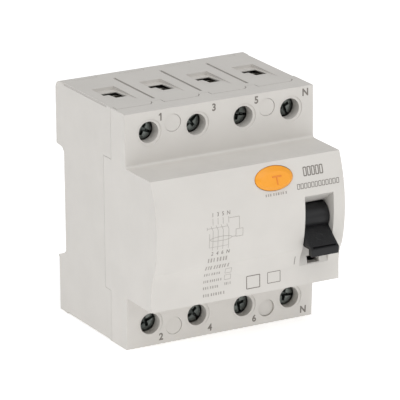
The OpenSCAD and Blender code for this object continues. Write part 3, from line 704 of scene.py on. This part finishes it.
def coil_path(radius, height, turns, dead=0.6):
    """Helix along its own Z, with closed end turns: the rise is spread over the middle turns."""
    t = np.linspace(0, turns, int(turns * 30) + 1)
    rise = np.interp(t, [0, dead, turns - dead, turns], [0, 0.06, 0.94, 1.0]) * height
    return np.stack([radius * np.cos(2 * np.pi * t), radius * np.sin(2 * np.pi * t), rise], -1)


def add_spring(name, coils, body, node):
    """One piece of one or more coils: each is (path in case-frame mm, wire radius, axis)."""
    mesh = surface(name, *joined([tube(path, wire, 10, axis) for path, wire, axis in coils]))
    fix_outward(mesh)
    shade(mesh, 60)
    link_piece(mesh, "spring_steel", body, (node,))


test_coil = coil_path(2.3, 4.3, 5)
test_path = np.stack([test_coil[:, 0] + BUTTON_AT[0], test_coil[:, 2] - 11.0,
                      test_coil[:, 1] + BUTTON_AT[1]], -1)
add_spring("test_return_spring", [(test_path, 0.25, (0, 1, 0))], "case", "test_spring")
toggle_coil = coil_path(1.8, 1.1, 2.5, 0.3)
toggle_path = np.stack([toggle_coil[:, 2] + TOGGLE_X + 3.9, toggle_coil[:, 0] + PIVOT[0],
                        toggle_coil[:, 1] + PIVOT[1]], -1)
add_spring("toggle_return_spring", [(toggle_path, 0.25, (1, 0, 0))], "toggle", "toggle_spring")
latch_coil = coil_path(1.7, 9.7, 8)
add_spring("rail_latch_spring", [(latch_coil * (1, 0.6, 1) + (0, 46.2, 6.3), 0.22, (0, 0, 1))],
           "case", "clip_spring")

OPEN_TURN = math.radians(15.713)  # how far the carrier stands open at rest
pressure_coil = coil_path(1.1, 2.5, 3.5) + (0, 6.7, 1.85)
turned_y = pressure_coil[:, 1] * math.cos(OPEN_TURN) + pressure_coil[:, 2] * math.sin(OPEN_TURN)
turned_z = -pressure_coil[:, 1] * math.sin(OPEN_TURN) + pressure_coil[:, 2] * math.cos(OPEN_TURN)
AXLE = (12.0, 41.2)
add_spring("contact_pressure_springs",
           [(np.stack([pressure_coil[:, 0] + x, turned_y + AXLE[0], turned_z + AXLE[1]], -1), 0.2,
             (0, math.sin(OPEN_TURN), math.cos(OPEN_TURN))) for x in POLE_X], "carrier", "contact_springs")


def core_winding():
    """Magnet wire wound round the sector of the core: the path goes round a box-like section with
    round corners while it creeps along the core."""
    turns, sweep, wire = 44, math.radians(106), 0.3
    t = np.linspace(0, 1, turns * 28 + 1)
    round_section = 2 * np.pi * turns * t
    half_w, half_h = (CORE_R - CORE_BORE) / 2 + 0.5, CORE_H / 2 + 0.5
    c, s = np.cos(round_section), np.sin(round_section)
    square = 1 / np.maximum((np.abs(c) ** 6 + np.abs(s) ** 6) ** (1 / 6), 1e-6)
    reach = (CORE_R + CORE_BORE) / 2 + half_w * c * square
    angle = math.radians(-90) - sweep / 2 + sweep * t
    path = np.stack([reach * np.cos(angle), CORE_Y + reach * np.sin(angle), CORE_Z + half_h * s * square], -1)
    sideways = np.stack([-np.sin(angle), np.cos(angle), 0 * angle], -1)
    along = np.gradient(path, axis=0)
    along /= np.linalg.norm(along, axis=1, keepdims=True)
    outward = np.cross(along, sideways)
    outward /= np.linalg.norm(outward, axis=1, keepdims=True)
    ring = np.linspace(0, 2 * np.pi, 6, endpoint=False)[None, :, None]
    points = path[:, None] + wire * (np.cos(ring) * sideways[:, None] + np.sin(ring) * outward[:, None])
    faces = capped(grid_faces(len(path), 6), len(path), 6)
    mesh = surface("core_winding_turns", points.reshape(-1, 3), faces)
    fix_outward(mesh)
    shade(mesh, 80)
    link_piece(mesh, "winding_wire", "case", ("core_winding",))


core_winding()

# ---- prints on the front -----------------------------------------------------------------
INK_LIFT = 0.03


def ink_stroke(a, b, width, skin, lift=INK_LIFT):
    """Thin raised line from a to b (x, z) over a skin y(z), in short steps so that it hugs the curve."""
    a, b = np.asarray(a, float), np.asarray(b, float)
    length = np.linalg.norm(b - a)
    along = (b - a) / length
    side = np.array([-along[1], along[0]]) * width / 2
    steps = max(2, int(abs(b[1] - a[1]) / 0.7) + 2)
    middle = a + (b - a) * np.linspace(0, 1, steps)[:, None]
    left, right = middle + side, middle - side
    flat = np.stack([left, right, right, left], 1)
    depth = skin(flat[..., 1]) - np.array([lift, lift, -lift, -lift])
    points = np.stack([flat[..., 0], depth, flat[..., 1]], -1).reshape(-1, 3)
    return points, capped(grid_faces(steps, 4), steps, 4)


def ink_dashes(x0, x1, z, height, skin, pattern):
    """Row of short blocks that stands in for a line of small print."""
    unit = (x1 - x0) / sum(sum(pair) for pair in pattern)
    parts, x = [], x0
    for block, space in pattern:
        wide = block * unit * 0.6
        parts.append(ink_stroke((x + wide / 2, z), (x + wide / 2, z + height), wide, skin))
        x += (block + space) * unit
    return parts


def ink_box(x0, x1, z0, z1, width, skin):
    corners = [(x0, z0), (x1, z0), (x1, z1), (x0, z1)]
    return [ink_stroke(a, b, width, skin) for a, b in zip(corners, corners[1:] + corners[:1])]


def digit(text, x, z, height, skin, slant=0.0, weight=0.0):
    """A printed figure, its foot at z and its middle at x, laid over the skin."""
    curve = bpy.data.curves.new("figure_" + text, "FONT")
    curve.body = text
    curve.extrude = 0.01
    curve.offset = weight
    curve.align_x = "CENTER"
    helper = bpy.data.objects.new("figure_" + text, curve)
    bpy.context.scene.collection.objects.link(helper)
    bpy.context.view_layer.update()
    mesh = bpy.data.meshes.new_from_object(helper)
    co = np.empty(len(mesh.vertices) * 3)
    mesh.vertices.foreach_get("co", co)
    co = co.reshape(-1, 3)
    faces = [list(poly.vertices) for poly in mesh.polygons]
    bpy.data.objects.remove(helper)
    bpy.data.curves.remove(curve)
    low, high = co.min(0), co.max(0)
    scale, narrowing = height / (high[1] - low[1]), 0.92
    across = (co[:, 0] - (low[0] + high[0]) / 2) * scale * narrowing
    upward = (co[:, 1] - low[1]) * scale
    out = np.where(co[:, 2] > 0, INK_LIFT, -INK_LIFT)
    across = across + slant * upward
    points = np.stack([x + across, skin(z + upward) - out, z + upward], -1)
    return points, faces


def add_print(name, parts, look="print_grey"):
    mesh = surface(name, *joined(parts))
    work = bmesh.new()
    work.from_mesh(mesh)
    bmesh.ops.remove_doubles(work, verts=work.verts, dist=1e-7)
    bmesh.ops.recalc_face_normals(work, faces=work.faces)
    work.to_mesh(mesh)
    work.free()
    link_piece(mesh, look, "case")


FIGURE_H = 2.6
upper = [("1", -22.2, 77.9), ("3", -2.3, 78.2), ("5", 13.8, 78.3), ("N", 32.6, 78.3)]
lower = [("2", -22.6, 1.3), ("4", -4.0, 1.2), ("6", 13.1, 1.4), ("N", 32.2, 1.3)]
figures = [digit(text, x, z, FIGURE_H, terminal_y, weight=0.032) for text, x, z in upper + lower]
figures.append(ink_stroke((-22.95, 79.75), (-22.25, 80.4), 0.4, terminal_y, INK_LIFT * 0.9))
add_print("terminal_figures", figures)


def wiring_diagram():
    """Generic four-pole circuit: supply figures, switch blades, linkage, transformer ring, load figures."""
    skin, thin = front_y, 0.13
    columns = [-14.6, -12.7, -10.8, -8.7]
    top, foot = 48.6, 37.6
    parts = []
    for x in columns:
        parts.append(ink_stroke((x, top), (x, 46.4), thin, skin))
        parts.append(ink_stroke((x, 44.4), (x - 0.8, 46.2), thin, skin))
        parts.append(ink_stroke((x, 44.4), (x, foot), thin, skin))
    parts.append(ink_stroke((-16.8, 45.4), (-9.4, 45.4), thin * 0.8, skin))
    parts.append(ink_stroke((-16.8, 45.9), (-16.8, 44.9), thin, skin))
    turn = np.linspace(0, 2 * np.pi, 33)
    oval = np.stack([-11.6 + 4.1 * np.cos(turn), 41.4 + 0.75 * np.sin(turn)], -1)
    parts += [ink_stroke(a, b, thin, skin) for a, b in zip(oval[:-1], oval[1:])]
    parts += ink_box(-6.0, -3.4, 41.2, 43.8, thin, skin)
    parts.append(ink_stroke((-7.5, 41.4), (-6.0, 41.4), thin, skin))
    parts.append(ink_stroke((-4.7, 43.8), (-4.7, 48.0), thin, skin))
    parts.append(ink_stroke((-8.7, 48.0), (-4.7, 48.0), thin, skin))
    parts.append(ink_stroke((-15.9, 38.7), (-8.7, 38.7), thin * 0.8, skin))
    parts.append(ink_stroke((-15.9, 38.7), (-15.9, 43.6), thin * 0.8, skin))
    add_print("wiring_diagram", parts, "print_fine")
    figures = [digit(text, x, z, 1.3, skin, slant=0.1)
               for row, z in (("135N", 49.2), ("246N", 35.7)) for text, x in zip(row, columns)]
    add_print("diagram_figures", figures)


def small_print():
    """Ratings and small print as plain blocks with no wording."""
    # each pair is a block and the space after it
    word = [(1, 0.35), (1.2, 0.3), (0.8, 0.9), (1.1, 0.3), (1.3, 0.35), (1, 0.3), (1.2, 0.0)]
    note = [(1, 0.25), (0.8, 0.25), (1.1, 0.6), (1, 0.25), (0.9, 0.25), (1.2, 0.25), (0.8, 0.25), (1, 0.5),
            (1, 0.0)]
    large = ink_dashes(-15.9, -8.4, 33.2, 1.5, front_y, word)
    large += ink_dashes(-16.3, -7.2, 30.3, 1.5, front_y, note)
    add_print("rating_blocks", large, "print_fine")
    small = ink_dashes(-16.2, -10.0, 27.9, 0.9, front_y, word)
    small += ink_dashes(-16.2, -9.2, 25.4, 0.9, front_y, note)
    small += ink_dashes(-16.3, -10.4, 23.1, 0.9, front_y, word)
    small += ink_dashes(-8.2, -5.6, 23.5, 0.9, front_y, word[:4])
    small += ink_dashes(-16.3, -8.0, 20.5, 1.0, front_y, note)
    for z in (27.8, 25.4):
        small += ink_box(-8.3, -6.0, z, z + 1.7, 0.14, front_y)
    small += ink_dashes(5.6, 13.9, 52.6, 0.85, front_y, note)
    add_print("small_print_blocks", small, "print_fine")
    name = []
    for x in np.arange(20.8, 28.4, 1.55):
        name += ink_box(x, x + 1.0, 57.3, 60.0, 0.34, front_y)
    for x in np.arange(17.8, 34.0, 1.36):
        name += ink_box(x, x + 0.9, 53.3, 54.9, 0.2, front_y)
    add_print("nameplate_blocks", name)
    badge = ink_box(0.2, 5.2, 20.6, 25.0, 0.3, front_y)
    badge += ink_box(8.2, 13.0, 21.2, 25.0, 0.22, front_y)
    badge += [ink_stroke((18.3, 26.2), (18.3, 29.2), 0.22, front_y)]
    add_print("plain_badges", badge)


wiring_diagram()
small_print()

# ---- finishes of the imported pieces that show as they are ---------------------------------
KEPT = {
    "toggle_pin": "bright_steel", "toggle_link": "bright_steel", "mechanism_frame": "bright_steel",
    "contact_carrier": "carrier_plastic", "carrier_axle": "bright_steel", "moving_contacts": "copper",
    "moving_tips": "contact_silver", "line_plates": "copper", "load_plates": "copper",
    "fixed_tips": "contact_silver", "flexible_braids": "braid", "primary_conductors": "copper",
    "sensing_core": "core_alloy", "core_cradle": "cradle_plastic", "relay_case": "relay_plastic",
    "relay_plunger": "bright_steel", "trip_lever": "cradle_plastic", "trip_lever_pin": "bright_steel",
    "test_card": "card_laminate", "test_leaf": "brass_leaf", "test_resistor": "resistor_body",
    "sense_wires": "wire_red",
}
for node, look in KEPT.items():
    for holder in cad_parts[node].material_slots:
        holder.link = "OBJECT"
        holder.material = LOOKS[look]

# ---- floor and lights --------------------------------------------------------------------


def add_floor():
    """Plain pale floor, lifted a little by its own glow so that it reads as white paper."""
    material, nodes, links = new_material("paper_floor")
    shader = nodes["Principled BSDF"]
    shader.inputs["Base Color"].default_value = (0.93, 0.93, 0.93, 1)
    shader.inputs["Roughness"].default_value = 0.9
    shader.inputs["Emission Color"].default_value = (1, 1, 1, 1)
    shader.inputs["Emission Strength"].default_value = 0.42
    half = 6.0
    low = float(ORIGIN[2]) - 0.0002
    mesh = bpy.data.meshes.new("floor")
    corners = [(-half, -half, low), (half, -half, low), (half, half, low), (-half, half, low)]
    mesh.from_pydata(corners, [], [(0, 1, 2, 3)])
    mesh.materials.append(material)
    floor = bpy.data.objects.new("floor", mesh)
    bpy.context.scene.collection.objects.link(floor)


def add_world(strength):
    world = bpy.data.worlds.new("soft_room")
    world.use_nodes = True
    world.node_tree.nodes["Background"].inputs["Color"].default_value = (1, 1, 1, 1)
    world.node_tree.nodes["Background"].inputs["Strength"].default_value = strength
    bpy.context.scene.world = world


add_floor()
add_world(0.5)
add_softbox("high_key", 10, 64, size=1.2, power=8.4)
add_softbox("front_key", -20, 28, size=1.0, power=3.8)
add_softbox("side_fill", 80, 24, size=1.0, power=4.0)

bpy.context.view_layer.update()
